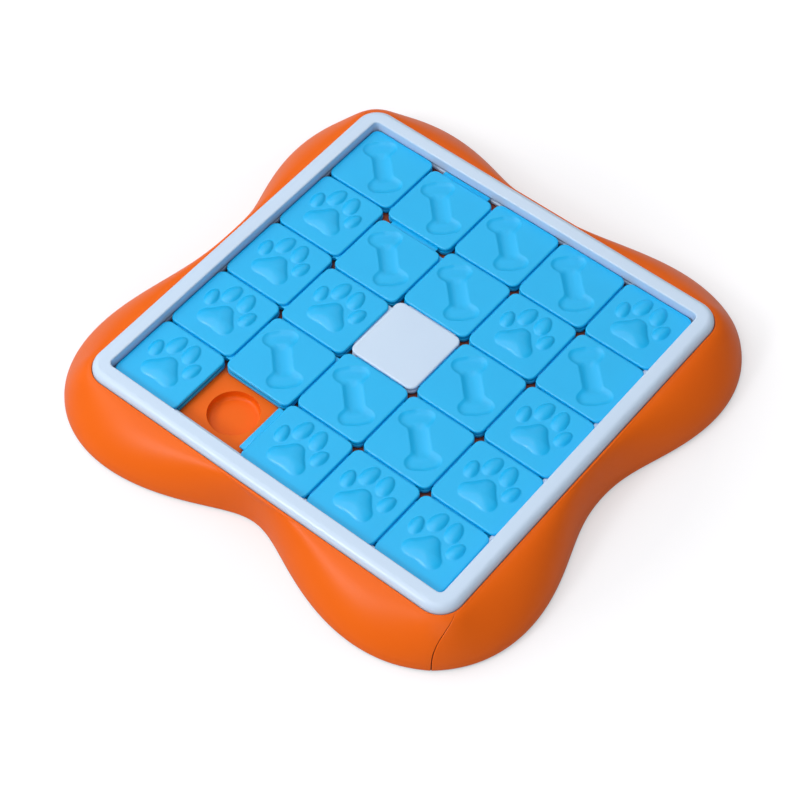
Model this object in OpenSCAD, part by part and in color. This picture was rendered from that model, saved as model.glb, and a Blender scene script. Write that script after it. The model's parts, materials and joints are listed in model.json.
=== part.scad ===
// Sliding tile treat puzzle for dogs. Twenty-four square tiles lie in a frame that has room for twenty-five,
// so a dog can push a tile into the empty cell and uncover the round treat well below it.
// The tiles hold one another down: each has a tongue on two sides and a groove on the other two.
// Origin: centre of the base, on the surface that the toy stands on.
// +X and +Y run along the board's sides, +Z up.

/* [Board] */
// Distance between the centres of neighbouring cells
pitch = 50; // [46:0.5:60]
// Gap between the bodies of neighbouring tiles
tile_gap = 1.25; // [1.1:0.05:2]
// Height of the tiles' top faces above the surface that the toy stands on
tile_top_z = 28.5; // [27:0.5:36]
// Gap between the outermost tiles and the frame
frame_play = 1; // [0.6:0.1:2]

/* [Tiles] */
// Thickness of a tile without its relief
tile_t = 6.2; // [5.8:0.1:8]
// Radius of a tile's upright corners
tile_corner_r = 5; // [3:0.5:6]
// Radius of a tile's top edge
tile_edge_r = 1.2; // [0.6:0.1:1.8]
// Running gap between a tile and the deck below it
tile_lift = 0.3; // [0.2:0.05:0.5]
// Thickness of the plastic above the hollow underside
tile_skin = 2.7; // [2.4:0.1:3.2]
// Thickness of a tile's inner walls
tile_wall = 1.6; // [1.2:0.1:2]
// Thickness of the tongue along a tile's left and rear sides
tongue_t = 1.5; // [1.2:0.1:1.8]
// How far a tongue stands out of its tile
tongue_reach = 4.4; // [3.8:0.1:5]
// Distance from a tile's top face down to its tongue
tongue_drop = 2.2; // [2:0.1:2.5]
// How far a tongue stops short of its tile's corners
tongue_end = 6.5; // [5.5:0.5:9]
// Gap above and below a tongue in its groove
groove_play = 0.3; // [0.2:0.05:0.35]

/* [Relief] */
// Height of the raised paw print above a tile's top face
paw_h = 1.3; // [0.8:0.1:1.6]
// Half the width of an outer toe pad
outer_toe_w = 4; // [3.4:0.1:4.4]
// Half the length of an outer toe pad
outer_toe_l = 6.3; // [5.6:0.1:6.8]
// Half the width of an inner toe pad
inner_toe_w = 4.7; // [4:0.1:5]
// Half the length of an inner toe pad
inner_toe_l = 7.4; // [6.5:0.1:7.6]
// Half the width of the rounded corners of the main pad
pad_w = 5.6; // [5:0.1:6]
// Depth of the dip in the main pad's front side
pad_dip = 0.9; // [0:0.1:1.5]
// Depth of the bone hollow in a tile's top face
bone_depth = 1.4; // [0.8:0.1:1.6]
// Distance between the knuckles at the two ends of the bone
bone_l = 32; // [28:0.5:33]
// Distance between the two knuckles at one end of the bone
knuckle_gap = 10.8; // [9:0.2:12]
// Half the width of a knuckle
knuckle_w = 5.6; // [4.6:0.1:6]
// Half the width of the bone's shaft
shaft_w = 6.2; // [5:0.1:6.8]

/* [Treat wells] */
// Radius of a treat well
well_r = 16; // [14:0.5:18]
// Depth of a treat well below the deck
well_depth = 6; // [5:0.5:7]
// Radius of the fillet round a treat well's floor
well_fillet = 2.5; // [1.5:0.1:3]
// Thickness of the deck below the tiles
deck_t = 2.4; // [2:0.1:3]
// Thickness of a treat well's wall and floor
cup_wall = 2; // [1.6:0.1:2.4]
// Thickness of the ribs below the deck
rib_t = 1.6; // [1.2:0.1:2.4]
// Height of the ribs below the deck
rib_h = 6; // [4:0.5:8]

/* [Frame] */
// Width of the frame's band
frame_w = 11.6; // [11:0.1:14]
// Height of the frame above the tiles' top faces
frame_rise = 5.5; // [4.5:0.1:7]
// Radius of the frame's rolled outer edge
frame_roll_r = 5; // [3:0.5:5.5]
// Radius of the frame's inner top edge
frame_edge_r = 0.8; // [0.5:0.1:1.2]
// Radius of the frame's inner corners
frame_corner_r = 3.4; // [3:0.1:5]
// Gap between the frame and the base all round
frame_seat_gap = 0.3; // [0.2:0.05:0.5]

/* [Base] */
// Thickness of the upright wall round the frame
tray_wall = 1.6; // [1.2:0.1:2.4]
// Height of the base's rim above the tiles' top faces
rim_rise = 0.5; // [0:0.1:1]
// How far the skirt flares out at the middle of a side
waist_flare = 4.8; // [4:0.1:12]
// How much the waists of the left and right sides stand out more, and those of the front and rear less
waist_skew = 3.2; // [0:0.1:3.6]
// How far the lobes reach past the rim's corners
lobe_swell = 17.8; // [12:0.5:26]
// How full the lobes are between the waists and the corners
lobe_full = 0.9; // [0:0.1:2]
// Shape of the skirt's curve: 0 is a straight slope, 0.55 is a quarter of an ellipse
skirt_bulge = 0.35; // [0.2:0.01:0.55]
// Thickness of the skirt
skirt_t = 2.8; // [2.2:0.1:3.4]
// Height of the skirt's lower edge above the surface
skirt_lift = 1; // [0.6:0.1:1.6]

/* [Feet and screws] */
// Radius of a rubber foot
foot_r = 9; // [7:0.5:10]
// Depth of the seat that holds a rubber foot
foot_seat = 1.6; // [1:0.1:2]
// Distance from the tray's outer sides to a foot's centre
foot_inset = 13; // [12:0.5:16]
// Gap between a foot and the side of its seat
foot_gap = 0.2; // [0.1:0.05:0.4]
// Radius of a frame screw's shank
screw_r = 1.4; // [1.2:0.1:1.6]
// Radius of a frame screw's head
screw_head_r = 2.8; // [2.4:0.1:3]
// Height of a frame screw's head
screw_head_h = 1.8; // [1.4:0.1:2.2]
// Length of a frame screw below its head
screw_l = 10; // [8:0.5:10.5]
// Gap between a screw and its hole
screw_gap = 0.05; // [0.03:0.01:0.1]

/* [Position of the tiles] */
// How far the loose column has slid towards the empty cell
column_slide = 6.2; // [0:0.1:8]
// How far its rear tile lags behind
column_lag = 2.7; // [0:0.1:3]
// How far the loose row has slid towards the empty cell
row_slide = 1; // [0:0.05:1]

/* [Hidden] */
$fn = 48;
eps = 0.01;
// The board has as many cells along a side as it has letters or numbers in the tiles' names
cells = 5;
middle = (cells - 1) / 2;
empty_col = 1;

tile = pitch - tile_gap;
tile_z = tile_top_z - tile_t;
tongue_z = tile_top_z - tongue_drop - tongue_t;
// A tongue crosses the gap and keeps a gap of the same width in front of its tip
groove_depth = tongue_reach;
tongue_l = tile - 2 * tongue_end;

deck_z = tile_z - tile_lift;
cup_z = deck_z - well_depth - cup_wall;

opening = cells * pitch - tile_gap + 2 * frame_play;
frame_half = opening / 2 + frame_w;
frame_outer_r = frame_corner_r + frame_w;
frame_h = tile_top_z + frame_rise - deck_z;
corner_at = frame_half - frame_outer_r;
rail_reach = frame_play + tongue_reach - tile_gap;
undercut = tongue_reach - frame_play + tile_gap;
// The rails end where the outermost tongues do
rail_half = middle * pitch + tongue_l / 2;

tray_half = frame_half + frame_seat_gap + tray_wall;
tray_corner_r = frame_outer_r + frame_seat_gap + tray_wall;
rim_z = tile_top_z + rim_rise;
foot_at = tray_half - foot_inset;
screw_line = frame_half - (frame_w - undercut) / 2;
// The screws stand between the ribs, in line with the middles of cells
screw_at = pitch;

// The skirt starts clear of the tray's wall by little more than a sheet of paper
seam = 0.15;
skirt_half = tray_half + seam;
skirt_corner_r = tray_corner_r + seam;
skirt_corner_at = skirt_half - skirt_corner_r;
waist_reach = skirt_half + waist_flare;
lobe_reach = skirt_corner_at * sqrt(2) + skirt_corner_r + lobe_swell;
mean_reach = (lobe_reach + waist_reach) / 2 + lobe_full;
wave_reach = (lobe_reach - waist_reach) / 2;
rings = 9;

// Angles round the base: even steps along the rim's straight parts and round its corners
straight_steps = 10;
corner_steps = 5;
steps = straight_steps + corner_steps;
function rim_angle(i) = let (b = 45 * (i - straight_steps) / corner_steps)
    i < straight_steps
        ? atan(skirt_corner_at * i / straight_steps / skirt_half)
        : atan((skirt_corner_at + skirt_corner_r * sin(b)) / (skirt_corner_at + skirt_corner_r * cos(b)));
turn = [
    for (quarter = [0:3], i = [0:2 * steps - 1])
        90 * quarter + (i < steps ? rim_angle(i) : 90 - rim_angle(2 * steps - i))
];

// Angle from the nearest line through the middle of a side, 0 to 45
function off_side(a) = let (m = a % 90) min(m, 90 - m);

// Distance from the centre to the rim, a square with round corners
function rim_reach(a) = let (m = off_side(a))
    m < atan(skirt_corner_at / skirt_half)
        ? skirt_half / cos(m)
        : skirt_corner_at * (cos(m) + sin(m))
            + sqrt(pow(skirt_corner_r, 2) - pow(skirt_corner_at, 2) * (1 - sin(2 * m)));

// Distance from the centre to the skirt's lower edge, a wave with four lobes.
// The high power keeps the difference between the waists close to the middles of the sides.
function foot_reach(a) =
    mean_reach - wave_reach * cos(4 * a) - lobe_full * cos(8 * a) + waist_skew * pow(cos(2 * a), 15);

// Point at share s of a curve that leaves its inner end level and reaches its outer end upright
function skirt_point(s, inner, outer) = let (
        run = [outer[0] - inner[0], 0],
        drop = [0, inner[1] - outer[1]]
    )
    pow(1 - s, 3) * inner
        + 3 * s * pow(1 - s, 2) * (inner + skirt_bulge * run)
        + 3 * s * s * (1 - s) * (outer + skirt_bulge * drop)
        + pow(s, 3) * outer;

// Section through the skirt at angle a: down the outside, then up the inside, which stays clear of the tray
function skirt_section(a) = let (
        r0 = rim_reach(a),
        r1 = foot_reach(a),
        inside = max(r1 - skirt_t, r0)
    )
    concat(
        [for (i = [0:rings]) skirt_point(i / rings, [r0, rim_z], [r1, skirt_lift])],
        [for (i = [rings:-1:0]) skirt_point(i / rings, [r0, rim_z - skirt_t], [inside, skirt_lift])]
    );

// Radius of a ball or bar that shows half the width w and the height h above a plane
function cap_r(w, h) = (w * w + h * h) / (2 * h);

function rest_shift(col, row) =
    col == empty_col ? [0, row == cells - 1 ? column_lag - column_slide : -column_slide, 0]
    : row == 0 && col > empty_col ? [-row_slide, 0, 0]
    : [0, 0, 0];

module at_cell(col, row) {
    translate([(col - middle) * pitch, (row - middle) * pitch, 0])
        children();
}

module round_square(half, r) {
    square([2 * half, 2 * (half - r)], center = true);
    square([2 * (half - r), 2 * half], center = true);
    for (x = [-1, 1], y = [-1, 1])
        translate([x * (half - r), y * (half - r)])
            circle(r);
}

module on_four_sides() {
    for (a = [0:90:270])
        rotate([0, 0, a])
            children();
}

// ---- base ----

module base_shell() {
    n = len(turn);
    m = 2 * (rings + 1);
    color("#F0731E")
        polyhedron(
            points = [for (a = turn, p = skirt_section(a)) [p[0] * cos(a), p[0] * sin(a), p[1]]],
            faces = [
                for (i = [0:n - 1], k = [0:m - 1], half = [0, 1])
                    let (i2 = (i + 1) % n, k2 = (k + 1) % m)
                    half == 0 ? [i * m + k, i2 * m + k, i2 * m + k2] : [i * m + k, i2 * m + k2, i * m + k2]
            ],
            convexity = 6
        );
}

// The space inside one treat well, with a fillet round its floor, up to a little above the deck
module well_space() {
    translate([0, 0, deck_z - well_depth])
        rotate_extrude() {
            square([well_r - well_fillet, well_depth + 1]);
            translate([0, well_fillet])
                square([well_r, well_depth + 1 - well_fillet]);
            intersection() {
                translate([well_r - well_fillet, well_fillet])
                    circle(well_fillet);
                square([well_r, well_depth]);
            }
        }
}

module tray_ribs() {
    for (i = [0:cells - 2])
        translate([0, (i + 0.5 - middle) * pitch, deck_z - deck_t - rib_h / 2 + eps])
            cube([2 * (tray_half - tray_wall), rib_t, rib_h], center = true);
}

module treat_tray() {
    color("#EC6A22")
        difference() {
            union() {
                translate([0, 0, deck_z - deck_t])
                    linear_extrude(deck_t)
                        round_square(tray_half, tray_corner_r);
                translate([0, 0, deck_z - eps])
                    linear_extrude(rim_z - deck_z + eps)
                        difference() {
                            round_square(tray_half, tray_corner_r);
                            round_square(tray_half - tray_wall, tray_corner_r - tray_wall);
                        }
                tray_ribs();
                rotate([0, 0, 90])
                    tray_ribs();
                for (col = [0:cells - 1], row = [0:cells - 1])
                    at_cell(col, row)
                        translate([0, 0, cup_z])
                            cylinder(r = well_r + cup_wall, h = deck_z - deck_t / 2 - cup_z);
                on_four_sides()
                    translate([foot_at, foot_at, skirt_lift])
                        cylinder(r = foot_r + cup_wall, h = deck_z - deck_t / 2 - skirt_lift);
            }
            for (col = [0:cells - 1], row = [0:cells - 1])
                at_cell(col, row)
                    well_space();
            on_four_sides() {
                for (side = [-1, 1])
                    translate([side * screw_at, screw_line, deck_z - deck_t - 1])
                        cylinder(r = screw_r + screw_gap, h = deck_t + 2);
                translate([foot_at, foot_at, skirt_lift - 1])
                    cylinder(r = foot_r + foot_gap, h = foot_seat + 1);
            }
        }
}

// ---- frame ----

// Section of the frame's band: the inner wall at x = 0, the seat at y = 0
module frame_profile() {
    difference() {
        square([frame_w, frame_h]);
        translate([frame_w - frame_roll_r, frame_h - frame_roll_r])
            difference() {
                square(frame_roll_r + 1);
                circle(frame_roll_r);
            }
        translate([frame_edge_r, frame_h - frame_edge_r])
            difference() {
                translate([-frame_edge_r - 1, 0])
                    square(frame_edge_r + 1);
                circle(frame_edge_r);
            }
    }
}

module frame_ring() {
    color("#DCE8F6")
        difference() {
            union() {
                translate([0, 0, deck_z])
                    on_four_sides() {
                        translate([-corner_at, opening / 2, 0])
                            rotate([90, 0, 90])
                                linear_extrude(2 * corner_at)
                                    frame_profile();
                        translate([corner_at, corner_at, 0])
                            rotate_extrude(angle = 90)
                                translate([frame_corner_r, 0])
                                    frame_profile();
                    }
                // Rails that enter the grooves of the front and right tiles
                for (turned = [0, 90])
                    rotate([0, 0, turned])
                        translate([-rail_half, -opening / 2 - eps, tongue_z])
                            cube([2 * rail_half, rail_reach + eps, tongue_t]);
            }
            // Undercuts that the tongues of the left and rear tiles run into
            for (turned = [0, 90])
                rotate([0, 0, turned])
                    translate([-corner_at, opening / 2 - 1, tongue_z - groove_play])
                        cube([2 * corner_at, undercut + 1, tongue_t + 2 * groove_play]);
            on_four_sides()
                for (side = [-1, 1])
                    translate([side * screw_at, screw_line, deck_z - 1])
                        cylinder(r = screw_r + screw_gap, h = screw_l - deck_t + 2);
        }
}

module frame_screws() {
    color("#B8BCC2")
        on_four_sides()
            for (side = [-1, 1])
                translate([side * screw_at, screw_line, deck_z - deck_t - screw_head_h]) {
                    cylinder(r = screw_head_r, h = screw_head_h);
                    cylinder(r = screw_r, h = screw_head_h + screw_l);
                }
}

module rubber_feet() {
    color("#3A3A3C")
        on_four_sides()
            translate([foot_at, foot_at, 0])
                cylinder(r = foot_r, h = skirt_lift + foot_seat);
}

// ---- tiles ----

// A square plate with upright round corners and a rounded top edge, its top face at z = 0
module soft_plate() {
    half = tile / 2;
    bend = half - tile_corner_r;
    translate([0, 0, -tile_t])
        linear_extrude(tile_t - tile_edge_r)
            round_square(half, tile_corner_r);
    translate([0, 0, -tile_edge_r - eps])
        linear_extrude(tile_edge_r + eps)
            round_square(half - tile_edge_r, tile_corner_r - tile_edge_r);
    translate([0, 0, -tile_edge_r])
        on_four_sides() {
            translate([0, half - tile_edge_r, 0])
                rotate([0, 90, 0])
                    cylinder(r = tile_edge_r, h = 2 * bend, center = true);
            translate([bend, bend, 0])
                rotate_extrude(angle = 90)
                    translate([tile_corner_r - tile_edge_r, 0])
                        circle(tile_edge_r);
        }
}

// Four shallow rooms below a tile, parted by a cross of ribs, clear of the grooves
module tile_hollow() {
    room = tile / 2 - groove_depth - 1.5 * tile_wall;
    offset = (room + tile_wall) / 2;
    for (x = [-1, 1], y = [-1, 1])
        translate([x * offset, y * offset, -(tile_t + tile_skin + 1) / 2])
            cube([room, room, tile_t - tile_skin + 1], center = true);
}

// Tongues on the left and rear sides, grooves in the right and front sides
module tile_blank() {
    half = tile / 2;
    tongue_top = -tongue_drop;
    difference() {
        union() {
            soft_plate();
            for (turned = [0, 90])
                rotate([0, 0, turned])
                    translate([-tongue_l / 2, half - 1, tongue_top - tongue_t])
                        cube([tongue_l, tongue_reach + 1, tongue_t]);
        }
        for (turned = [0, 90])
            rotate([0, 0, turned])
                translate([-half - 1, -half - 1, tongue_top - tongue_t - groove_play])
                    cube([tile + 2, groove_depth + 1, tongue_t + 2 * groove_play]);
        tile_hollow();
    }
}

// A long bead lying along Y, round in section, of which half the width w and half the length l show
module bead(w, l, h) {
    r = cap_r(w, h);
    bend = cap_r(l, h);
    tip = sqrt(bend * bend - pow(bend - r, 2));
    translate([0, 0, h - r])
        rotate([90, 0, 0])
            rotate_extrude()
                intersection() {
                    translate([r - bend, 0])
                        circle(bend);
                    translate([0, -tip])
                        square([r, 2 * tip]);
                }
}

module ball_cap(w, h) {
    translate([0, 0, h - cap_r(w, h)])
        sphere(cap_r(w, h));
}

// Points of an arc round c from angle a0 to angle a1
function arc(c, r, a0, a1, n) = [for (i = [0:n]) let (a = a0 + (a1 - a0) * i / n) c + r * [cos(a), sin(a)]];

// Outline of the main pad: a triangle with round corners and a dip in the side away from the toes
function pad_outline(corner, tip) = let (
        left = [-corner[0], corner[1]],
        slope = atan(corner[0] / (tip[1] - corner[1]))
    )
    concat(
        arc(corner, pad_w, -90, slope, 6),
        arc(tip, pad_w, slope, 180 - slope, 6),
        arc(left, pad_w, 180 - slope, 270, 6),
        [for (t = [-0.75:0.25:0.75]) [t * corner[0], corner[1] - pad_w + pad_dip * (1 - t * t)]]
    );

// Paw print: four toe pads and a three-cornered main pad, toes towards +Y
module paw_relief() {
    outer_toe = [14.2, 3.8];
    inner_toe = [5.8, 12.9];
    pad_corner = [7.2, -9.4];
    pad_tip = [0, -1.2];
    pad_middle = [0, (2 * pad_corner[1] + pad_tip[1]) / 3];
    pad_reach = norm(pad_corner - pad_middle) + pad_w;
    root = tile_edge_r / 2;
    intersection() {
        for (side = [-1, 1]) {
            translate([side * outer_toe[0], outer_toe[1], 0])
                rotate([0, 0, -12 * side])
                    bead(outer_toe_w, outer_toe_l, paw_h);
            translate([side * inner_toe[0], inner_toe[1], 0])
                rotate([0, 0, 9 * side])
                    bead(inner_toe_w, inner_toe_l, paw_h);
        }
        translate([-tile / 2, -tile / 2, -root])
            cube([tile, tile, paw_h + 2 * root]);
    }
    intersection() {
        translate([0, 0, -root])
            linear_extrude(paw_h + 2 * root)
                polygon(pad_outline(pad_corner, pad_tip));
        translate(pad_middle)
            ball_cap(1.15 * pad_reach, paw_h + 0.2);
    }
}

// A bar of length l lying along Y, of which half the width w and the height h show
module bar_cap(w, l, h) {
    translate([0, 0, h - cap_r(w, h)])
        rotate([90, 0, 0])
            cylinder(r = cap_r(w, h), h = l, center = true);
}

// Bone-shaped hollow along the diagonal from the rear left to the front right, just off the tile's centre.
// At each end the two knuckles run into each other in one broad trough.
module bone_hollow() {
    translate([-0.4, 1.2, 0])
        rotate([180, 0, -45]) {
            for (x = [-1, 1])
                translate([x * bone_l / 2, 0, 0]) {
                    for (y = [-1, 1])
                        translate([0, y * knuckle_gap / 2, 0])
                            ball_cap(knuckle_w, bone_depth);
                    bar_cap(knuckle_w, knuckle_gap, bone_depth);
                }
            rotate([0, 0, 90])
                bar_cap(shaft_w, bone_l, 0.8 * bone_depth);
        }
}

module place_tile(col, row) {
    at_cell(col, row)
        translate(rest_shift(col, row) + [0, 0, tile_top_z])
            children();
}

module paw_tile(col, row) {
    color("#3AB8F5")
        place_tile(col, row) {
            tile_blank();
            paw_relief();
        }
}

module bone_tile(col, row) {
    color("#3AB8F5")
        place_tile(col, row)
            difference() {
                tile_blank();
                bone_hollow();
            }
}

module white_tile(col, row) {
    color("#DCE8F6")
        place_tile(col, row)
            tile_blank();
}

base_shell();
treat_tray();
frame_ring();
frame_screws();
rubber_feet();
paw_tile(0, 0);  // paw_tile_a1
paw_tile(2, 0);  // paw_tile_c1
paw_tile(3, 0);  // paw_tile_d1
paw_tile(4, 0);  // paw_tile_e1
paw_tile(0, 1);  // paw_tile_a2
bone_tile(1, 1);  // bone_tile_b2
bone_tile(2, 1);  // bone_tile_c2
bone_tile(3, 1);  // bone_tile_d2
paw_tile(4, 1);  // paw_tile_e2
paw_tile(0, 2);  // paw_tile_a3
paw_tile(1, 2);  // paw_tile_b3
white_tile(2, 2);  // white_tile_c3
bone_tile(3, 2);  // bone_tile_d3
paw_tile(4, 2);  // paw_tile_e3
paw_tile(0, 3);  // paw_tile_a4
bone_tile(1, 3);  // bone_tile_b4
bone_tile(2, 3);  // bone_tile_c4
paw_tile(3, 3);  // paw_tile_d4
bone_tile(4, 3);  // bone_tile_e4
bone_tile(0, 4);  // bone_tile_a5
bone_tile(1, 4);  // bone_tile_b5
bone_tile(2, 4);  // bone_tile_c5
bone_tile(3, 4);  // bone_tile_d5
paw_tile(4, 4);  // paw_tile_e5
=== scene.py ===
import json
import math

import bmesh
import bpy
import numpy as np
from mathutils import Matrix, Vector


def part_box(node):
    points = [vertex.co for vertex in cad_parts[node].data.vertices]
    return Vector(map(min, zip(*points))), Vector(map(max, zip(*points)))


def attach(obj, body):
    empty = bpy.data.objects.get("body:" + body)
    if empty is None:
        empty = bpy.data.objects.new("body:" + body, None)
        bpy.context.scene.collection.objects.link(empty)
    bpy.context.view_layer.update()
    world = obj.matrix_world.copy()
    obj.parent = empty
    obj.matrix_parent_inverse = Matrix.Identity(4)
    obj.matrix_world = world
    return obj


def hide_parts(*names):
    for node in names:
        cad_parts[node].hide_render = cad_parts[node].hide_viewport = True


# Sliding tile treat puzzle for dogs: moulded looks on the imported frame.
# Lengths in the dictionaries are millimetres unless a note says otherwise, angles are degrees,
# colours are sRGB hex.

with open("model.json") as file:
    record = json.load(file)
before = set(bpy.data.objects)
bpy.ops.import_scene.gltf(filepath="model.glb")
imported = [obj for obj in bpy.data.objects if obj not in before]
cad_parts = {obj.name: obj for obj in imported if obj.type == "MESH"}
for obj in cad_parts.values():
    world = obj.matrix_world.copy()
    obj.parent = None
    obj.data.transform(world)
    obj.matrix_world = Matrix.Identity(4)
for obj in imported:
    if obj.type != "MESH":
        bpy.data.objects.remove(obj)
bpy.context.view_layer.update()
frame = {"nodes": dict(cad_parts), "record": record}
nodes = frame["nodes"]
mm = 0.001
print("frame loaded:", len(nodes), "nodes")


# colours, nodes and meshes

def linearColour(hexText):
    parts = [int(hexText[i:i + 2], 16) / 255 for i in (1, 3, 5)]
    return [c / 12.92 if c <= 0.04045 else ((c + 0.055) / 1.055) ** 2.4 for c in parts] + [1.0]


def addNode(tree, kind, inputs=None, **settings):
    node = tree.nodes.new(kind)
    for name, value in settings.items():
        setattr(node, name, value)
    for name, value in (inputs or {}).items():
        if isinstance(value, bpy.types.NodeSocket):
            tree.links.new(value, node.inputs[name])
        else:
            node.inputs[name].default_value = value
    return node


def addNoise(tree, coord, size, detail, turn=None):
    inputs = {"Vector": coord, "Scale": 1 / (size * mm), "Detail": detail}
    if turn is None:
        return addNode(tree, "ShaderNodeTexNoise", inputs).outputs["Fac"]
    return addNode(tree, "ShaderNodeTexNoise", dict(inputs, W=turn), noise_dimensions="4D").outputs["Fac"]


def addRange(tree, value, low, high, start=0.0, end=1.0, **settings):
    inputs = {"Value": value, "From Min": start, "From Max": end, "To Min": low, "To Max": high}
    return addNode(tree, "ShaderNodeMapRange", inputs, **settings).outputs["Result"]


def addBlend(tree, share, first, second):
    return addNode(tree, "ShaderNodeMix", {0: share, 6: first, 7: second}, data_type="RGBA").outputs[2]


def addBump(tree, height, depth, **inputs):
    return addNode(tree, "ShaderNodeBump", {"Height": height, "Distance": depth * mm, **inputs}).outputs["Normal"]


def addSurface(tree, inputs):
    shader = addNode(tree, "ShaderNodeBsdfPrincipled", inputs).outputs["BSDF"]
    addNode(tree, "ShaderNodeOutputMaterial", {"Surface": shader})


def newMaterial(name):
    material = bpy.data.materials.new(name)
    material.use_nodes = True
    material.node_tree.nodes.clear()
    return material, material.node_tree


def makePiece(name, points, faces, material):
    mesh = bpy.data.meshes.new(name)
    mesh.from_pydata([tuple(p) for p in np.asarray(points) * mm], [], faces)
    mesh.materials.append(material)
    piece = bpy.data.objects.new(name, mesh)
    bpy.context.scene.collection.objects.link(piece)
    return piece


def finishMesh(mesh, creaseDegrees):
    build = bmesh.new()
    build.from_mesh(mesh)
    bmesh.ops.recalc_face_normals(build, faces=build.faces)
    build.to_mesh(mesh)
    build.free()
    mesh.shade_smooth()
    mesh.set_sharp_from_angle(angle=math.radians(creaseDegrees))


# materials

# Polypropylene, injection moulded in a lightly spark-eroded mould: satin, and its fine grit holds the shine down
orangePolypropylene = {
    "light": "#F0690E", "deep": "#EA620B", "ior": 1.49, "shine": 0.2, "rough": (0.32, 0.4), "edge": 0.3,
    "cloud": 45, "grain": 0.9, "grainHeight": 0.012, "wave": 26, "waveHeight": 0.06,  # real grain is 0.2 mm
    "paintedShade": "#0A2233", "paintedShadeReach": 9, "paintedShadeOpen": (0.16, 0.6),  # painted shade: a dark navy painted into recesses, by how open to the sky the surface is, from 0 to 1
}
# ABS, injection moulded in a polished mould and tinted a cold white: its rounded edges catch thin clear highlights
whiteAbs = {
    "light": "#CCDFF4", "deep": "#C5D9F0", "ior": 1.53, "shine": 0.5, "rough": (0.274, 0.286), "edge": 1.3,
    "cloud": 60, "grain": 1.1, "grainHeight": 0.006, "wave": 30, "waveHeight": 0.03,  # real grain is finer
}
# ABS, injection moulded in a mould with a fine satin face: strong blue, with soft highlights on the relief
blueAbs = {
    "light": "#08B7F2", "deep": "#04B1ED", "ior": 1.53, "shine": 0.5, "rough": (0.31, 0.35), "edge": 0.3,
    "cloud": 22, "grain": 1.0, "grainHeight": 0.008, "wave": 18, "waveHeight": 0.03,  # real grain is finer
}
plasticDetail = {  # how finely each noise is broken up, the part of the grain's range that is used, and the samples for the rounded edges and for the painted shade
    "cloud": 2, "grain": 2, "wave": 1, "grainSpan": (0.2, 0.8), "edgeSamples": 6, "paintedShadeSamples": 12,
}


def mouldedPlastic(name, look):
    material, tree = newMaterial(name)
    coord = addNode(tree, "ShaderNodeTexCoord").outputs["Object"]
    turn = addNode(tree, "ShaderNodeObjectInfo").outputs["Random"]  # each tile has its own pattern
    cloud, grain, wave = (addNoise(tree, coord, look[part], plasticDetail[part], turn)
                          for part in ("cloud", "grain", "wave"))
    colour = addBlend(tree, cloud, linearColour(look["light"]), linearColour(look["deep"]))
    if "paintedShade" in look:
        # painted shade: deep between the tiles, where little sky is open, the colour is turned to a dark navy, as
        # though the light there had met only blue walls and no orange were seen
        openness = addNode(tree, "ShaderNodeAmbientOcclusion", {"Distance": look["paintedShadeReach"] * mm},
                           samples=plasticDetail["paintedShadeSamples"]).outputs["AO"]
        share = addRange(tree, openness, 0.0, 1.0, *look["paintedShadeOpen"], interpolation_type="SMOOTHSTEP")
        colour = addBlend(tree, share, linearColour(look["paintedShade"]), colour)
    rough = addRange(tree, grain, *look["rough"], *plasticDetail["grainSpan"], interpolation_type="SMOOTHSTEP")
    worn = addNode(tree, "ShaderNodeBevel", {"Radius": look["edge"] * mm},
                   samples=plasticDetail["edgeSamples"]).outputs["Normal"]
    waves = addBump(tree, wave, look["waveHeight"], Normal=worn)
    addSurface(tree, {
        "Base Color": colour, "Roughness": rough, "IOR": look["ior"], "Specular IOR Level": look["shine"],
        "Normal": addBump(tree, grain, look["grainHeight"], Normal=waves)})
    return material


# Rubber, compression moulded: matt and dark, with a dusty bloom in patches
footRubber = {
    "light": "#3B3B3E", "deep": "#262628", "metal": 0.0, "ior": 1.52, "rough": (0.7, 0.9),
    "patch": 3.0, "patchDetail": 4, "pits": 0.5, "pitDepth": 0.03,
}
# Steel, zinc plated: a grey metal whose passivated skin varies a little in tone
screwSteel = {
    "light": "#C9CCD0", "deep": "#A9ADB4", "metal": 1.0, "ior": 1.5, "rough": (0.28, 0.45),
    "patch": 1.2, "patchDetail": 3, "pits": 0.25, "pitDepth": 0.01,
}


def patchyMaterial(name, look):
    material, tree = newMaterial(name)
    coord = addNode(tree, "ShaderNodeTexCoord").outputs["Object"]
    patch = addNoise(tree, coord, look["patch"], look["patchDetail"])
    pits = addNoise(tree, coord, look["pits"], 1)
    addSurface(tree, {
        "Base Color": addBlend(tree, patch, linearColour(look["deep"]), linearColour(look["light"])),
        "Roughness": addRange(tree, patch, *look["rough"]), "Normal": addBump(tree, pits, look["pitDepth"]),
        "IOR": look["ior"], "Metallic": look["metal"]})
    return material


basePlastic = mouldedPlastic("orangePolypropyleneMoulded", orangePolypropylene)
framePlastic = mouldedPlastic("whiteAbsMoulded", whiteAbs)
tilePlastic = mouldedPlastic("blueAbsMoulded", blueAbs)
cadLooks = {"treat_tray": basePlastic, "frame_ring": framePlastic,
            "rubber_feet": patchyMaterial("blackRubberMoulded", footRubber),
            "frame_screws": patchyMaterial("steelZincPlated", screwSteel)}
for name, material in cadLooks.items():
    for place in nodes[name].material_slots:
        place.material = material
print("materials made")


# the lobed skirt of the base

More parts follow.
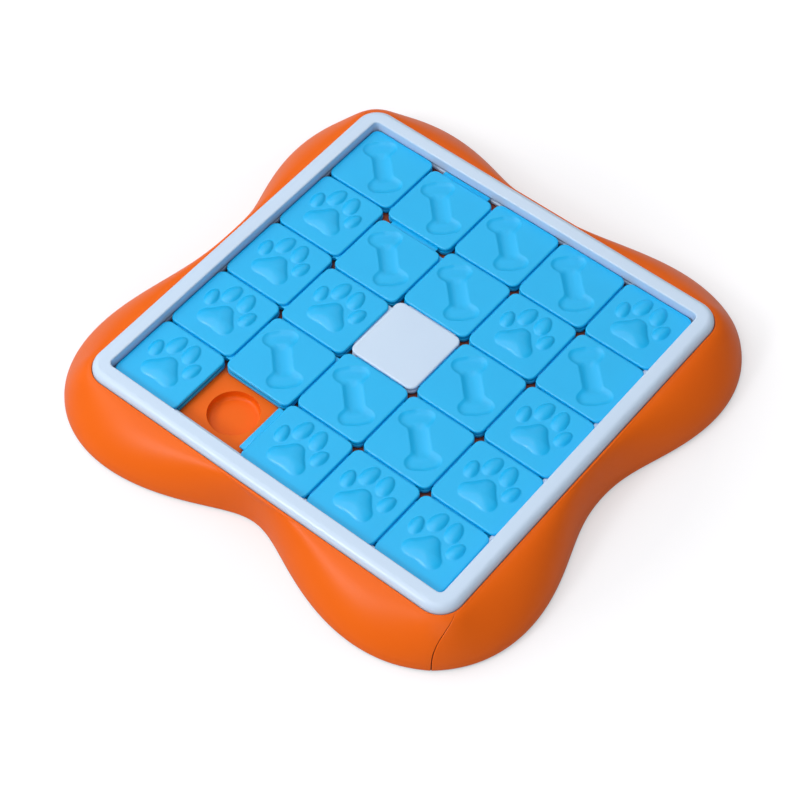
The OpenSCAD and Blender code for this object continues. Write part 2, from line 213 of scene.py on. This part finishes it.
skirt = {
    "half": 139.025, "corner": 17.05,        # the rim: a square with round corners
    "lipInset": 1.895, "lipRadius": 0.7, "lipFoot": 27.5, "lipSteps": 7, "rimTop": 29.3,
    "shoulder": 0.1, "shoulderRadius": 0.6,  # how far it stands out past the rim, above the waists
    "waist": 143.825, "lobe": 207.05,        # how far the foot reaches out at the waists and at the lobes
    "full": 0.9, "skew": 3.2, "skewPower": 15,  # skew: the left and right waists stand out more, the others less
    "bulge": 0.35, "wall": 2.8, "lift": 1.0, "edge": 0.7, "underRim": 0.3, "crease": 50,
    "columns": 480, "rows": 60, "edgeRows": 5, "insideRows": 20,
    "partingAt": (135, 315),
    "partingLine": (-15.34, 37.62, -25.30, -1.38, 2.06),  # polynomial: its angle off the diagonal, down the side
    "partingSpread": 7, "partingSteps": (0.02, 0.045, 0.075, 0.11, 0.16, 0.24, 0.4),  # columns of points beside it
    "partingDepth": 1.3, "partingWidth": 0.22, "partingFade": 8, "ridge": 0.45, "ridgeSpread": 9.0,
}


def rimReach(angle, inset):
    half, r = skirt["half"] - inset, skirt["corner"] - inset
    m = np.mod(angle, math.pi / 2)
    m = np.minimum(m, math.pi / 2 - m)
    centre = half - r
    onArc = centre * (np.cos(m) + np.sin(m)) + np.sqrt(
        np.maximum(r * r - centre * centre * (1 - np.sin(2 * m)), 0))
    return np.where(m < math.atan(centre / half), half / np.cos(m), onArc)


def footReach(angle):
    mean = (skirt["lobe"] + skirt["waist"]) / 2 + skirt["full"]
    wave = (skirt["lobe"] - skirt["waist"]) / 2
    return (mean - wave * np.cos(4 * angle) - skirt["full"] * np.cos(8 * angle)
            + skirt["skew"] * np.cos(2 * angle) ** skirt["skewPower"])


def curvePoint(s, inner, outer, bulge):
    first = (inner[0] + bulge * (outer[0] - inner[0]), inner[1])
    second = (outer[0], outer[1] + bulge * (inner[1] - outer[1]))
    weights = ((1 - s) ** 3, 3 * s * (1 - s) ** 2, 3 * s * s * (1 - s), s ** 3)
    return [sum(w * p[k] for w, p in zip(weights, (inner, first, second, outer))) for k in (0, 1)]


def skirtAngles():
    partings = [math.radians(a) for a in skirt["partingAt"]]
    angles = [2 * math.pi * i / skirt["columns"] for i in range(skirt["columns"])]
    angles += [p + side * math.radians(d) for p in partings for d in skirt["partingSteps"] for side in (-1, 1)]
    angles = np.array(sorted(angles))
    return angles, np.array([min((a - p for p in partings), key=abs) for a in angles])


def makeSkirt():
    angles, fromParting = skirtAngles()
    nearParting = np.exp(-(fromParting / math.radians(skirt["partingSpread"])) ** 2)
    rings = []

    def turnedAt(s):
        return angles + math.radians(float(np.polyval(skirt["partingLine"], s))) * nearParting

    def addRing(reach, height):
        rings.append((turned, reach, np.zeros(len(angles)) + height))

    turned = turnedAt(0)
    addRing(rimReach(turned, skirt["lipInset"]), skirt["lipFoot"])
    r = skirt["lipRadius"]
    for k in range(skirt["lipSteps"] + 1):
        t = math.pi * (1 - k / (2 * skirt["lipSteps"]))
        addRing(rimReach(turned, skirt["lipInset"] - r * (1 + math.cos(t))), skirt["rimTop"] + r * (math.sin(t) - 1))
    r = skirt["shoulderRadius"]
    for k in range(1, skirt["rows"] + 1):
        s = k / skirt["rows"]
        turned = turnedAt(s)
        start = (rimReach(turned, skirt["lipInset"] - skirt["lipRadius"]), skirt["rimTop"])
        end = (footReach(turned), skirt["lift"] + skirt["edge"])
        reach, height = curvePoint(s, start, end, skirt["bulge"])
        # where the waists are steep, a rounded shoulder keeps the skirt outside the tray's wall
        below = np.minimum(skirt["rimTop"] - height, r)
        reach = np.maximum(reach, rimReach(turned, -skirt["shoulder"]) - r + np.sqrt(r * r - (r - below) ** 2))
        # a fine groove on the parting line, on a faint ridge where the halves of the mould meet
        across = np.abs(fromParting) * reach
        reach = reach + min(1, skirt["partingFade"] * s) * (
            skirt["ridge"] * np.exp(-across / skirt["ridgeSpread"])
            - skirt["partingDepth"] * np.exp(-(across / skirt["partingWidth"]) ** 2))
        addRing(reach, height)
    for k in range(1, skirt["edgeRows"] + 1):
        t = math.pi / 2 * k / skirt["edgeRows"]
        addRing(footReach(turned) - skirt["edge"] * (1 - math.cos(t)),
                skirt["lift"] + skirt["edge"] * (1 - math.sin(t)))
    inside = np.maximum(footReach(turned) - skirt["wall"], rimReach(turned, 0))
    top = (rimReach(turned, 0), skirt["rimTop"] - skirt["underRim"] - skirt["wall"])
    for k in range(skirt["insideRows"], -1, -1):
        addRing(*curvePoint(k / skirt["insideRows"], top, (inside, skirt["lift"]), skirt["bulge"]))
    points = np.concatenate([np.stack([r * np.cos(a), r * np.sin(a), h], -1) for a, r, h in rings])
    n, m = len(angles), len(rings)
    faces = [(k * n + i, k * n + (i + 1) % n, (k + 1) % m * n + (i + 1) % n, (k + 1) % m * n + i)
             for k in range(m) for i in range(n)]
    return makePiece("lobedSkirt", points, faces, basePlastic)


lobedSkirt = makeSkirt()
finishMesh(lobedSkirt.data, skirt["crease"])
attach(lobedSkirt, "base")
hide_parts("base_shell")
print("skirt made:", len(lobedSkirt.data.vertices), "points")


# the tiles

tile = {
    "half": 24.375, "thick": 6.2, "corner": 5.0, "edge": 1.0, "crown": 0.15, "footEdge": 0.3, "crease": 35,
    "step": 0.45, "edgeSteps": (0, 0.04, 0.12, 0.24, 0.4, 0.6, 0.86, 1.2, 1.65, 2.2),  # rows of points, from the edge
    "tongueReach": 4.4, "tongueDrop": 2.2, "tongueThick": 1.5, "tongueLength": 35.75, "tongueBevel": 0.25,
    "groovePlay": 0.3, "skin": 2.7, "wall": 1.6,
}
paw = {
    "outerToe": (14.2, 3.8), "outerTilt": 12, "outerSize": (4.1, 6.4),
    "innerToe": (5.8, 12.9), "innerTilt": 9, "innerSize": (4.8, 7.5),
    "toeTaper": 0.12, "toeHeight": 1.7,
    "padMiddle": (0, -6.7), "padCorner": (7.2, -9.4), "padTip": (0, -1.2), "padRound": 5.6, "padDip": 0.6,
    "padHollow": 0.3, "padHeight": 2.3, "padSteps": 24,
    "fullness": 0.7, "softness": 0.02,  # a fullness below 1 gives flatter tops and steeper edges
}
bone = {
    "spot": (-0.3, 1.0), "length": 31.2, "bulge": 0.8, "knuckleGap": 10.8, "knuckle": 5.6, "shaft": 6.2,
    "blend": 3.5, "slope": 6.0, "shaftDepth": 1.9, "endDepth": 1.2,
    "shaftPower": 2.0, "endPower": 3.0, "softness": 0.03,  # the ends have steeper sides and a flatter floor
    "endFrom": 0.45, "endOver": 0.4,  # where the shaft turns into an end, in shares of half the length
}


def softFloor(value, k):
    return 0.5 * (value + np.sqrt(value * value + k * k))


def dome(rise):
    return softFloor(rise, paw["softness"]) ** paw["fullness"]


def toePad(x, y, spot, tilt, size):
    c, s = math.cos(math.radians(tilt)), math.sin(math.radians(tilt))
    u, v = (x - spot[0]) * c + (y - spot[1]) * s, -(x - spot[0]) * s + (y - spot[1]) * c
    width = size[0] * (1 - paw["toeTaper"] * np.clip(v / size[1], -1, 1))
    return paw["toeHeight"] * dome(1 - (u / width) ** 2 - (v / size[1]) ** 2)


def padOutline():
    (cx, cy), (tx, ty), r = paw["padCorner"], paw["padTip"], paw["padRound"]
    slope = math.atan(cx / (ty - cy))
    t = np.linspace(0, 1, paw["padSteps"])[:, None]
    outward = np.array([math.cos(slope), math.sin(slope)])
    heelShare = 0.95  # the dip of the heel ends just before its corner

    def arc(x, y, start, end):
        return np.hstack([x + r * np.cos(start + (end - start) * t), y + r * np.sin(start + (end - start) * t)])

    heel = np.hstack([heelShare * cx * t, cy - r + paw["padDip"] * (1 - (heelShare * t) ** 2) ** 2])
    flank = (1 - t) * (cx, cy) + t * (tx, ty) + (r - 4 * paw["padHollow"] * t * (1 - t)) * outward
    half = np.vstack([heel, arc(cx, cy, -math.pi / 2, slope), flank, arc(tx, ty, slope, math.pi / 2)])
    return np.vstack([half, half[::-1] * (-1, 1)]) - paw["padMiddle"]


def segmentDistance(x, y, a, b):
    dx, dy = b[0] - a[0], b[1] - a[1]
    t = np.clip(((x - a[0]) * dx + (y - a[1]) * dy) / (dx * dx + dy * dy), 0, 1)
    return np.hypot(x - a[0] - t * dx, y - a[1] - t * dy)


def smoothLeast(a, b, k):
    h = np.maximum(k - np.abs(a - b), 0) / k
    return np.minimum(a, b) - h * h * k / 4


def pawRelief(x, y):
    height = np.zeros_like(x)
    for side in (-1, 1):
        height += toePad(x, y, (side * paw["outerToe"][0], paw["outerToe"][1]), side * -paw["outerTilt"],
                         paw["outerSize"])
        height += toePad(x, y, (side * paw["innerToe"][0], paw["innerToe"][1]), side * paw["innerTilt"],
                         paw["innerSize"])
    # the main pad is a dome whose level lines are its outline, drawn in
    outline = padOutline()
    turn, reach = np.arctan2(outline[:, 1], outline[:, 0]), np.hypot(outline[:, 0], outline[:, 1])
    dx, dy = x - paw["padMiddle"][0], y - paw["padMiddle"][1]
    share = np.hypot(dx, dy) / np.interp(np.arctan2(dy, dx), turn, reach, period=2 * math.pi)
    return height + paw["padHeight"] * dome(1 - share ** 2)


def boneRelief(x, y):
    x, y = x - bone["spot"][0], y - bone["spot"][1]
    u, v = (x - y) / math.sqrt(2), (x + y) / math.sqrt(2)  # u runs along the bone, to the front right
    end, side = bone["length"] / 2, bone["knuckleGap"] / 2
    shape = np.maximum(np.abs(v) - bone["shaft"], np.abs(u) - end)
    for a in (-1, 1):
        knuckles = np.minimum.reduce([
            segmentDistance(u, v, (a * end, b * side), (a * (end + bone["bulge"]), 0)) for b in (-1, 1)])
        shape = smoothLeast(shape, knuckles - bone["knuckle"], bone["blend"])
    t = np.clip(softFloor(-shape / bone["slope"], bone["softness"]), 0, 1)
    atEnd = np.clip((np.abs(u) - bone["endFrom"] * end) / (bone["endOver"] * end), 0, 1)
    atEnd = atEnd * atEnd * (3 - 2 * atEnd)
    power = bone["shaftPower"] + (bone["endPower"] - bone["shaftPower"]) * atEnd
    depth = bone["shaftDepth"] + (bone["endDepth"] - bone["shaftDepth"]) * atEnd
    return -depth * (1 - (1 - t) ** power)


def plainTop(x, y):
    return np.zeros_like(x)


def tileLines():
    inner = tile["half"] - tile["edgeSteps"][-1]
    count = round(inner / tile["step"])
    right = [inner * i / count for i in range(count)] + [tile["half"] - d for d in reversed(tile["edgeSteps"])]
    return np.array([-v for v in reversed(right[1:])] + right)


def softBox(build, low, high, bevel):
    made = bmesh.ops.create_cube(build, size=1)["verts"]
    low, high = Vector(low) * mm, Vector(high) * mm
    for v in made:
        v.co = Vector([(low[k] + high[k]) / 2 + v.co[k] * (high[k] - low[k]) for k in range(3)])
    if bevel:
        edges = list({e for v in made for e in v.link_edges})
        bmesh.ops.bevel(build, geom=edges, offset=bevel * mm, segments=2, profile=0.5, affect="EDGES")


def carve(piece, boxes, operation, bevel=0):
    build = bmesh.new()
    for low, high in boxes:
        softBox(build, low, high, bevel)
    mesh = bpy.data.meshes.new("tool")
    build.to_mesh(mesh)
    build.free()
    tool = bpy.data.objects.new("tool", mesh)
    bpy.context.scene.collection.objects.link(tool)
    change = piece.modifiers.new("carve", "BOOLEAN")
    change.operation, change.solver, change.object = operation, "EXACT", tool
    bpy.context.view_layer.update()
    changed = bpy.data.meshes.new_from_object(piece.evaluated_get(bpy.context.evaluated_depsgraph_get()))
    piece.modifiers.clear()
    piece.data = changed
    bpy.data.objects.remove(tool)


def tileTop(relief):
    half, corner, edge = tile["half"], tile["corner"], tile["edge"]
    line = tileLines()
    x, y = np.meshgrid(line, line, indexing="ij")
    # the grid's corners are drawn in to the tile's round corners
    u, v = (np.abs(x) - half + corner) / corner, (np.abs(y) - half + corner) / corner
    bent = (u > 0) & (v > 0)
    across, along = u * np.sqrt(np.maximum(1 - v * v / 2, 0)), v * np.sqrt(np.maximum(1 - u * u / 2, 0))
    x = np.where(bent, np.sign(x) * (half - corner + corner * across), x)
    y = np.where(bent, np.sign(y) * (half - corner + corner * along), y)
    inward = np.where(bent, corner - corner * np.hypot(across, along), half - np.maximum(np.abs(x), np.abs(y)))
    drop = np.maximum(edge - np.maximum(inward, 0), 0)
    z = -(edge - np.sqrt(np.maximum(edge * edge - drop * drop, 0)))
    z += relief(x, y) * (inward > edge) + tile["crown"] * ((1 - (x / half) ** 2) * (1 - (y / half) ** 2) - 1) * (
        inward > 0)
    return list(np.stack([x, y, z], -1).reshape(-1, 3)), len(line)


def tileBlank(name, relief, material):
    points, n = tileTop(relief)
    faces = [(i * n + j, (i + 1) * n + j, (i + 1) * n + j + 1, i * n + j + 1)
             for i in range(n - 1) for j in range(n - 1)]
    rim = ([i * n for i in range(n)] + [(n - 1) * n + j for j in range(1, n)]
           + [i * n + n - 1 for i in range(n - 2, -1, -1)] + [j for j in range(n - 2, 0, -1)])
    above = rim
    for height, inset in ((-tile["thick"] + tile["footEdge"], 0), (-tile["thick"], tile["footEdge"])):
        below = list(range(len(points), len(points) + len(rim)))
        share = 1 - inset / tile["half"]
        points += [[points[k][0] * share, points[k][1] * share, height] for k in rim]
        faces += [(above[k], above[(k + 1) % len(rim)], below[(k + 1) % len(rim)], below[k])
                  for k in range(len(rim))]
        above = below
    faces.append(above[::-1])
    piece = makePiece(name, points, faces, material)
    finishMesh(piece.data, tile["crease"])
    return piece


def makeTileMesh(name, relief, material):
    piece = tileBlank(name, relief, material)
    half, reach, past = tile["half"], tile["tongueReach"], 1  # each cutter goes past the face that it opens
    end, top, base = tile["tongueLength"] / 2, -tile["tongueDrop"], -tile["tongueDrop"] - tile["tongueThick"]
    carve(piece, [((-half - reach, -end, base), (-half + past, end, top)),
                  ((-end, half - past, base), (end, half + reach, top))], "UNION", tile["tongueBevel"])
    base, top = base - tile["groovePlay"], top + tile["groovePlay"]
    carve(piece, [((half - reach, -half - past, base), (half + past, half + past, top))], "DIFFERENCE")
    carve(piece, [((-half - past, -half - past, base), (half + past, -half + reach, top))], "DIFFERENCE")
    near = tile["wall"] / 2
    far = near + half - reach - 1.5 * tile["wall"]
    rooms = []
    for sx in (-1, 1):
        for sy in (-1, 1):
            (x0, x1), (y0, y1) = sorted((sx * near, sx * far)), sorted((sy * near, sy * far))
            rooms.append(((x0, y0, -tile["thick"] - past), (x1, y1, -tile["skin"])))
    carve(piece, rooms, "DIFFERENCE")
    mesh = piece.data
    finishMesh(mesh, tile["crease"])
    bpy.data.objects.remove(piece)
    return mesh


tileKinds = {
    "paw": makeTileMesh("pawTile", pawRelief, tilePlastic),
    "bone": makeTileMesh("boneTile", boneRelief, tilePlastic),
    "white": makeTileMesh("whiteTile", plainTop, framePlastic),
}
print("tile shapes made:", {k: len(m.vertices) for k, m in tileKinds.items()})

for body, members in frame["record"]["behaviour"]["bodies"].items():
    for node in members:
        kind = node.split("_")[0]
        if kind not in tileKinds:
            continue
        low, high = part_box(node)
        piece = bpy.data.objects.new(kind + "Tile_" + node[-2:], tileKinds[kind])
        # the tongues stand out to the left and the rear, so the other two sides give the tile's place
        piece.location = (high[0] - tile["half"] * mm, low[1] + tile["half"] * mm, low[2] + tile["thick"] * mm)
        bpy.context.scene.collection.objects.link(piece)
        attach(piece, body)
        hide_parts(node)
print("tiles laid")


# floor, light and camera

studio = {
    "floor": "#CBCBCE", "floorHalf": 5000, "paperRough": (0.85, 0.95), "paperShine": 0.1, "paperGrain": 1.1111,
    # what the floor adds for the camera alone, as the lamps light the far floor less; distances in metres
    "glow": (0.39, 1.0), "glowFrom": 0.19, "glowTo": 0.54,
    "world": 0.22,
    "lamps": {  # place in metres, width and height of the lamp in metres, power in watts
        "highLamp": ((-0.76, -0.76, 2.4), (2.6, 2.6), 34),
        "leftLamp": ((-1.86, -0.57, 1.41), (2.0, 1.0), 9),
        "sideLamp": ((-0.67, -1.43, 1.23), (0.4, 0.4), 9),
        "topLamp": ((-0.72, 0.92, 1.62), (2.0, 2.0), 8),
        "fillLamp": ((1.1, -1.3, 1.3), (1.4, 1.4), 8),
    },
}


def makeFloor():
    material, tree = newMaterial("paperBackdrop")
    seen = addNode(tree, "ShaderNodeLightPath").outputs["Is Camera Ray"]
    coord = addNode(tree, "ShaderNodeTexCoord").outputs["Object"]
    grain = addNoise(tree, coord, studio["paperGrain"], 2)
    reach = addNode(tree, "ShaderNodeVectorMath", {0: coord}, operation="LENGTH").outputs["Value"]
    white = addRange(tree, reach, *studio["glow"], studio["glowFrom"], studio["glowTo"])
    glow = addNode(tree, "ShaderNodeMath", {0: seen, 1: white}, operation="MULTIPLY").outputs[0]
    addSurface(tree, {
        "Base Color": linearColour(studio["floor"]), "Roughness": addRange(tree, grain, *studio["paperRough"]),
        "Specular IOR Level": studio["paperShine"], "Emission Color": (1, 1, 1, 1), "Emission Strength": glow})
    side = studio["floorHalf"]
    floor = makePiece("floor", [(-side, -side, 0), (side, -side, 0), (side, side, 0), (-side, side, 0)],
                      [(0, 1, 2, 3)], material)


def makeWorld():
    world = bpy.data.worlds.new("studio")
    world.use_nodes = True
    tree = world.node_tree
    tree.nodes.clear()
    path = addNode(tree, "ShaderNodeLightPath").outputs
    seen = addNode(tree, "ShaderNodeMath", {0: path["Is Camera Ray"], 1: path["Is Transmission Ray"]},
                   operation="MAXIMUM").outputs[0]
    light, white = (addNode(tree, "ShaderNodeBackground", {"Color": (1, 1, 1, 1), "Strength": strength}).outputs[0]
                    for strength in (studio["world"], 1.0))
    both = addNode(tree, "ShaderNodeMixShader", {0: seen, 1: light, 2: white}).outputs[0]
    addNode(tree, "ShaderNodeOutputWorld", {"Surface": both})
    bpy.context.scene.world = world


def makeLamp(name, spot, size, power):
    lamp = bpy.data.lights.new(name, "AREA")
    lamp.shape, lamp.size, lamp.size_y, lamp.energy = "RECTANGLE", size[0], size[1], power
    holder = bpy.data.objects.new(name, lamp)
    holder.location = spot
    holder.rotation_euler = (-Vector(spot)).to_track_quat("-Z", "Y").to_euler()  # aimed at the board
    bpy.context.scene.collection.objects.link(holder)


makeFloor()
makeWorld()
for name, (spot, size, power) in studio["lamps"].items():
    makeLamp(name, spot, size, power)

camera = {  # its place and clipping in metres, its three axes as directions
    "lens": 99.07, "sensor": 36, "clip": (0.05, 50), "spot": (0.48958, -0.62784, 1.08253),
    "right": (0.77893761, 0.62704708, 0.00825595),
    "up": (-0.51353901, 0.63026791, 0.58227145),
    "back": (0.35990815, -0.45779289, 0.81295252),
}
lens = bpy.data.cameras.new("camera")
lens.lens, lens.sensor_width = camera["lens"], camera["sensor"]
lens.clip_start, lens.clip_end = camera["clip"]
eye = bpy.data.objects.new("camera", lens)
eye.matrix_world = Matrix.Translation(camera["spot"]) @ Matrix(
    (camera["right"], camera["up"], camera["back"])).transposed().to_4x4()
bpy.context.scene.collection.objects.link(eye)
bpy.context.scene.camera = eye
bpy.context.scene.view_settings.view_transform = "Standard"
print("studio set")
